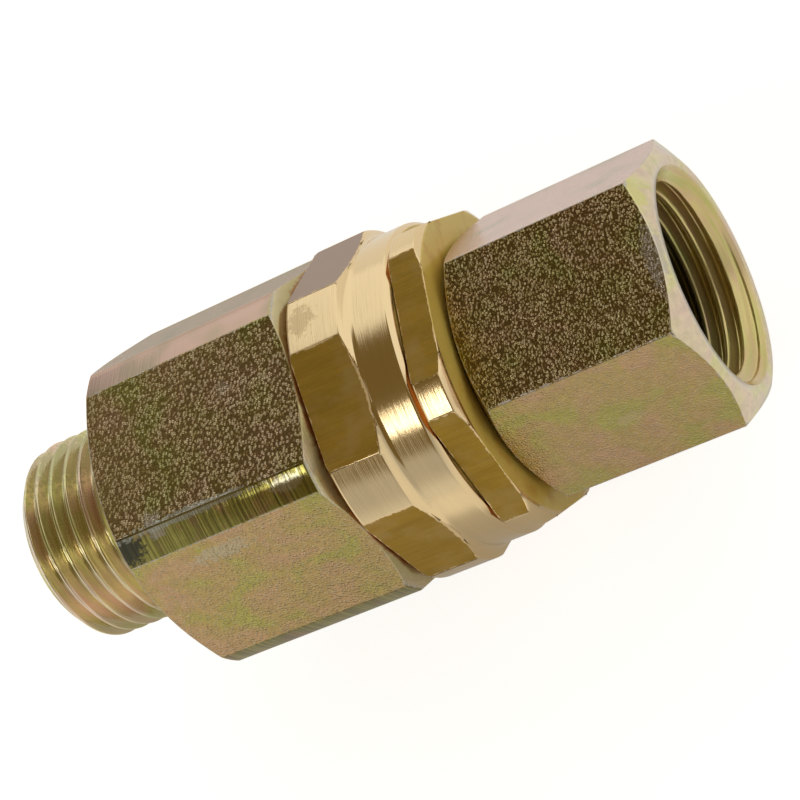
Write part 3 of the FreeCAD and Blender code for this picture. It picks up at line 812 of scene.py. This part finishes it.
class SWIVEL_OT_bearing_nut(bpy.types.Operator):
    """Turns the bearing nut with its smooth band and mills its flats"""

    bl_idname = "swivel.bearing_nut"
    bl_label = "Bearing Nut"

    def execute(self, context):
        sizes, finish = context.scene.swivel_sizes, context.scene.swivel_finish
        low, high = frame_mm("bearing_nut")
        shoulder = frame_mm("male_housing")[1].x
        corner, half_flats, bore = 17.0, 16.0, 9.04
        band_step, band_length, chamfer = 1.05, 4.4, 0.5
        collar_width, o_ring_section = 0.5, 1.7
        band = corner - band_step
        hex_end = high.x - band_length
        slope = math.tan(sizes.chamfer_angle)
        collar = shoulder - collar_width
        collar_radius = COUNTERBORE_RADIUS - CLEARANCE
        groove = collar_radius - o_ring_section
        packing_floor = frame_mm("gland_spacer_washer")[0].x
        gland_thread = frame_mm("gland_spacer_washer")[1].y + CLEARANCE
        outline = [(low.x, bore), (low.x, SPIGOT_THREAD_RADIUS - EDGE_BREAK),
                   (low.x + EDGE_BREAK, SPIGOT_THREAD_RADIUS),
                   (O_RING_GROOVE_START, SPIGOT_THREAD_RADIUS), (O_RING_GROOVE_START, groove),
                   (collar, groove), (collar, collar_radius), (shoulder, collar_radius),
                   (shoulder, corner - EDGE_BREAK), (shoulder + EDGE_BREAK, corner),
                   (hex_end - band_step * slope, corner), (hex_end - 0.3, band + 0.52),
                   (hex_end, band + 0.16), (hex_end + 0.35, band), (high.x - chamfer, band),
                   (high.x, band - chamfer), (high.x, gland_thread + chamfer),
                   (high.x - chamfer, gland_thread), (packing_floor, gland_thread),
                   (packing_floor, bore)]
        bm = machine(outline, sizes, half_flats, sizes.bearing_turn)
        hexagon = hexagon_inputs(half_flats, corner, shoulder, hex_end, corner, band, slope)
        dark_spot = ((26.2, 5.6, 16.1), (0.6, 0.5, 0.5), (0.36, 0.24, 0.11), 0.45)
        turned = brass_turned("Turned brass", finish, high.x, (shoulder,), (dark_spot,))
        flats = brass_flat("Bearing nut flats", finish, hexagon, (shoulder,))
        finish_piece(bm, "large_brass_nut", (turned, flats), "bearing_nut", "stator")
        return {"FINISHED"}


class SWIVEL_OT_gland_nut(bpy.types.Operator):
    """Turns the thin gland nut and mills its flats"""

    bl_idname = "swivel.gland_nut"
    bl_label = "Gland Nut"

    def execute(self, context):
        sizes, finish = context.scene.swivel_sizes, context.scene.swivel_finish
        low, high = frame_mm("gland_nut")
        corner, half_flats, bore = 16.4, 15.0, 9.2
        drop, hex_length, pocket_depth = 0.8, 3.35, 2.0
        hex_start = high.x - hex_length
        face = corner - drop
        slope = math.tan(sizes.chamfer_angle)
        spigot = frame_mm("gland_spacer_washer")[1].y
        pocket = frame_mm("dust_wiper")[1].y + CLEARANCE
        outline = [(low.x, bore), (low.x, spigot), (hex_start, spigot),
                   (hex_start, corner - EDGE_BREAK), (hex_start + EDGE_BREAK, corner),
                   (high.x - drop * slope, corner), (high.x, face), (high.x, pocket),
                   (high.x - pocket_depth, pocket), (high.x - pocket_depth, bore)]
        bm = machine(outline, sizes, half_flats, sizes.gland_turn)
        hexagon = hexagon_inputs(half_flats, corner, hex_start, high.x, corner, face, slope)
        turned = brass_turned("Turned gland brass", finish, high.x, (hex_start,))
        flats = brass_flat("Gland nut flats", finish, hexagon)
        finish_piece(bm, "thin_brass_nut", (turned, flats), "gland_nut", "stator")
        return {"FINISHED"}


class SWIVEL_OT_female_body(bpy.types.Operator):
    """Turns the female body, mills its flats and cuts the female thread"""

    bl_idname = "swivel.female_body"
    bl_label = "Female Body"

    def execute(self, context):
        sizes, finish = context.scene.swivel_sizes, context.scene.swivel_finish
        low, high = frame_mm("female_body")
        half_flats, bore = 12.5, 5.5
        corner = half_flats / math.cos(math.radians(30))
        slope = math.tan(sizes.chamfer_angle)
        back_drop, front_drop, mouth = 2.13, 2.53, 10.95
        port_depth, relief_width, relief_drop = 14.0, 2.5, 0.12
        tail_radius, tail_gap, sink_depth = 7.513, 0.3, 1.8
        back, front = corner - back_drop, corner - front_drop
        root, crest = thread_radii(sizes)
        relief = crest + relief_drop
        port_floor = high.x - port_depth
        relief_end = port_floor + relief_width
        socket_end = frame_mm("spindle")[1].x + tail_gap
        tail_thread = tail_radius + CLEARANCE
        sink = frame_mm("spindle_o_ring")[1].y + CLEARANCE
        sink_floor = low.x + sink_depth
        outline = [(low.x, sink), (low.x, back), (low.x + back_drop * slope, corner),
                   (high.x - front_drop * slope, corner), (high.x, front), (high.x, mouth),
                   (high.x - mouth + root, root), (relief_end + relief - root, root),
                   (relief_end, relief), (port_floor, relief), (port_floor, bore),
                   (socket_end, bore), (socket_end, tail_thread), (sink_floor, tail_thread),
                   (sink_floor, sink)]
        zone = (relief_end - 0.1, high.x + 1, 9.2, 11.1)
        bm = machine(outline, sizes, half_flats, sizes.body_turn, zone, sizes.female_start, True)
        hexagon = hexagon_inputs(half_flats, corner, low.x, high.x, back, front, slope)
        pale = finish.body_pale
        scuffs = (((50.4, -11.5, 4.9), (0.6, 1.4, 1.4), (0.58, 0.44, 0.27), 0.4),
                  ((59.3, -1.2, 12.4), (1.1, 0.25, 0.8), (0.46, 0.41, 0.36), 0.8))
        port_marks = (((59.9, -1.0, 12.4), (1.2, 0.32, 1.0), (0.50, 0.45, 0.41), 0.6),
                      ((59.4, 5.0, 12.7), (0.7, 0.5, 0.5), (0.68, 0.64, 0.27), 0.8))
        # The depth stations set where the port's painted shade begins and where it is full
        turned = zinc_turned("Chromated port", finish, pale, corner, port_marks,
                             depth=(high.x - 3.6, high.x - 7.0))
        flats = zinc_flat("Chromated body flats", finish, pale, hexagon, scuffs, (),
                          grain=(finish.fine_grain, 0.20), wear_width=0.12,
                          edge_tint=(1.0, 1.0, 1.0), rise=(-6.0, 0.0))
        finish_piece(bm, "female_hexagon", (turned, flats), "female_body", "rotor")
        return {"FINISHED"}


class SWIVEL_OT_inner_parts(bpy.types.Operator):
    """Finishes the spindle, the washers and the seals inside"""

    bl_idname = "swivel.inner_parts"
    bl_label = "Inner Parts"

    def execute(self, context):
        steel = inner_metal("Ground steel", (0.62, 0.62, 0.60), 0.22)
        bronze = inner_metal("Bearing bronze", (0.60, 0.40, 0.22), 0.35)
        plastic = inner_seal("Seal plastic", (0.70, 0.70, 0.66), 0.45)
        rubber = inner_seal("Seal rubber", (0.02, 0.02, 0.02), 0.6)
        finishes = (
            (steel, ("spindle", "seal_seat_ring", "gland_spacer_washer")),
            (bronze, ("guide_bush", "inner_thrust_washer", "outer_thrust_washer")),
            (plastic, ("pressure_seal_ring", "seal_backup_ring", "gland_packing_ring")),
            (rubber, ("pressure_seal_energizer", "nut_o_ring", "dust_wiper", "spindle_o_ring")))
        for material, nodes in finishes:
            for node in nodes:
                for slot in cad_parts[node].material_slots:
                    slot.material = material
        return {"FINISHED"}


# Studio

def studio_world(studio):
    """Pale walls, brighter on the +Y side and at the -X end, under a dark ceiling."""
    world = bpy.data.worlds.new("Studio")
    world.use_nodes = True
    tree = world.node_tree
    coords = tree.nodes.new("ShaderNodeTexCoord")
    along, across, height = components(tree, coords.outputs["Generated"])
    foot = map_range(tree, height, 0.05, 0.3, studio.horizon, studio.plain_wall)
    end = map_range(tree, along, -0.75, -0.43, 1.0, 0.0)
    bright = maths(tree, "MAXIMUM", end, map_range(tree, across, -0.15, 0.15))
    far_corner = times(tree, map_range(tree, along, -0.47, -0.53),
                       map_range(tree, across, -0.15, 0.15, 0.0, 0.62))
    wall = add_node(tree, "ShaderNodeMix", {0: bright, 2: foot, 3: studio.bright_wall}).outputs[0]
    wall = times(tree, wall, maths(tree, "SUBTRACT", 1.0, far_corner))
    raised = times(tree, map_range(tree, along, -0.46, -0.52),
                   map_range(tree, across, -0.25, -0.45, 0.0, 0.25))
    ceiling_edge = maths(tree, "ADD", map_range(tree, across, -0.6, 0.5, 0.54, 0.755), raised)
    ceiling = map_range(tree, maths(tree, "SUBTRACT", height, ceiling_edge), -0.05, 0.03)
    room = mix_colour(tree, ceiling, grey(tree, wall), studio.ceiling)
    path = tree.nodes.new("ShaderNodeLightPath")
    seen = mix_colour(tree, path.outputs["Is Camera Ray"], room, (1, 1, 1))
    connect(tree, tree.nodes["Background"], {"Color": seen, "Strength": 1.0})
    return world


def floor_material(studio):
    """Plain pale floor, lifted to white for the camera where no shadow falls; in reflections it
    glows, with a painted shadow near the object.
    """
    material = bpy.data.materials.new("Pale floor")
    material.use_nodes = True
    tree = material.node_tree
    position = tree.nodes.new("ShaderNodeTexCoord").outputs["Object"]
    mottle = map_range(tree, noise(tree, position, 40.0, 3.0), 0.3, 0.7, 0.985, 1.0)
    colour = mix_colour(tree, 1.0, studio.floor_colour, grey(tree, mottle), "MULTIPLY")
    along, across, _ = components(tree, position)
    away = vector_maths(tree, "LENGTH", {0: stretched(tree, position, (0.7, 1.0, 1.0))})[1]
    # Glow for reflections: weaker near the object as a painted shadow, stronger beyond its ends and
    # on the +Y side
    lit = map_range(tree, away, 0.045, 0.10)
    for part, near, far in ((across, -0.02, 0.05), (along, 0.054, 0.066),
                            (along, -0.010, -0.026)):
        lit = maths(tree, "MAXIMUM", lit, map_range(tree, part, near, far))
    glow = map_range(tree, lit, 0.0, 1.0, 0.30 * studio.floor_glow, studio.floor_glow)
    path = tree.nodes.new("ShaderNodeLightPath")
    lift = maths(tree, "ADD", times(tree, path.outputs["Is Camera Ray"], studio.floor_lift),
                 times(tree, path.outputs["Is Glossy Ray"], glow))
    connect(tree, tree.nodes["Principled BSDF"],
            {"Base Color": colour, "Roughness": 0.9, "Specular IOR Level": 0.0,
             "Emission Color": (1, 1, 1), "Emission Strength": lift})
    return material


def camera_axes(studio):
    """Right, up and back axes of the rolled camera."""
    turn, rise = studio.azimuth, studio.elevation
    back = Vector((math.sin(turn) * math.cos(rise), -math.cos(turn) * math.cos(rise),
                   math.sin(rise)))
    level = Vector((math.cos(turn), math.sin(turn), 0))
    right = math.cos(studio.roll) * level + math.sin(studio.roll) * back.cross(level)
    return right, back.cross(right), back


class SWIVEL_OT_stage(bpy.types.Operator):
    """Builds the floor, the walls, the lamp and the camera"""

    bl_idname = "swivel.stage"
    bl_label = "Studio"

    def execute(self, context):
        scene = context.scene
        studio = scene.swivel_studio
        low, _ = CAD_BOX
        bm = bmesh.new()
        bmesh.ops.create_grid(bm, x_segments=2, y_segments=2, size=1.5)
        bmesh.ops.translate(bm, verts=bm.verts[:], vec=(0, 0, low.z - FLOOR_GAP))
        mesh = bpy.data.meshes.new("floor")
        bm.to_mesh(mesh)
        bm.free()
        mesh.materials.append(floor_material(studio))
        floor = bpy.data.objects.new("floor", mesh)
        scene.collection.objects.link(floor)

        right, up, back = camera_axes(studio)
        target = Vector(studio.target)
        camera_data = bpy.data.cameras.new("camera")
        camera_data.sensor_width = 36
        camera_data.lens = studio.focal_length
        camera_data.clip_start = 0.01
        camera_data.clip_end = 20
        camera = bpy.data.objects.new("camera", camera_data)
        turn = Matrix((right, up, back)).transposed().to_4x4()
        camera.matrix_world = Matrix.Translation(target + back * studio.distance) @ turn

        lamp_data = bpy.data.lights.new("key", "AREA")
        lamp_data.shape = "RECTANGLE"
        lamp_data.size = studio.key_size
        lamp_data.size_y = studio.key_depth
        lamp_data.energy = studio.key_power
        lamp = bpy.data.objects.new("key", lamp_data)
        place = target + studio.key_distance * Vector(studio.key_direction).normalized()
        facing = (place - target).to_track_quat("Z", "Y").to_matrix().to_4x4()
        lamp.matrix_world = Matrix.Translation(place) @ facing

        scene.collection.objects.link(camera)
        scene.collection.objects.link(lamp)
        scene.camera = camera
        scene.world = studio_world(studio)
        scene.view_settings.view_transform = "Standard"
        return {"FINISHED"}


OPERATORS = (SWIVEL_OT_housing, SWIVEL_OT_bearing_nut, SWIVEL_OT_gland_nut,
             SWIVEL_OT_female_body, SWIVEL_OT_inner_parts, SWIVEL_OT_stage)


class SWIVEL_PT_panel(bpy.types.Panel):
    """Lists the pieces and their settings in the sidebar"""

    bl_label = "Swivel Joint"
    bl_space_type = "VIEW_3D"
    bl_region_type = "UI"
    bl_category = "Swivel"

    def draw(self, context):
        layout = self.layout
        for operator in OPERATORS:
            layout.operator(operator.bl_idname)
        for settings in (context.scene.swivel_sizes, context.scene.swivel_finish,
                         context.scene.swivel_studio):
            box = layout.box()
            for name in settings.bl_rna.properties.keys():
                if name not in {"rna_type", "name"}:
                    box.prop(settings, name)


CLASSES = (SwivelSizes, SwivelFinish, StudioSettings, *OPERATORS, SWIVEL_PT_panel)


def register():
    for cls in CLASSES:
        bpy.utils.register_class(cls)
    bpy.types.Scene.swivel_sizes = PointerProperty(type=SwivelSizes)
    bpy.types.Scene.swivel_finish = PointerProperty(type=SwivelFinish)
    bpy.types.Scene.swivel_studio = PointerProperty(type=StudioSettings)


def unregister():
    del bpy.types.Scene.swivel_sizes
    del bpy.types.Scene.swivel_finish
    del bpy.types.Scene.swivel_studio
    for cls in reversed(CLASSES):
        bpy.utils.unregister_class(cls)


def main():
    """Builds every piece in order."""
    register()
    bpy.ops.swivel.housing()
    bpy.ops.swivel.bearing_nut()
    bpy.ops.swivel.gland_nut()
    bpy.ops.swivel.female_body()
    bpy.ops.swivel.inner_parts()
    bpy.ops.swivel.stage()


if __name__ == "__main__":
    main()
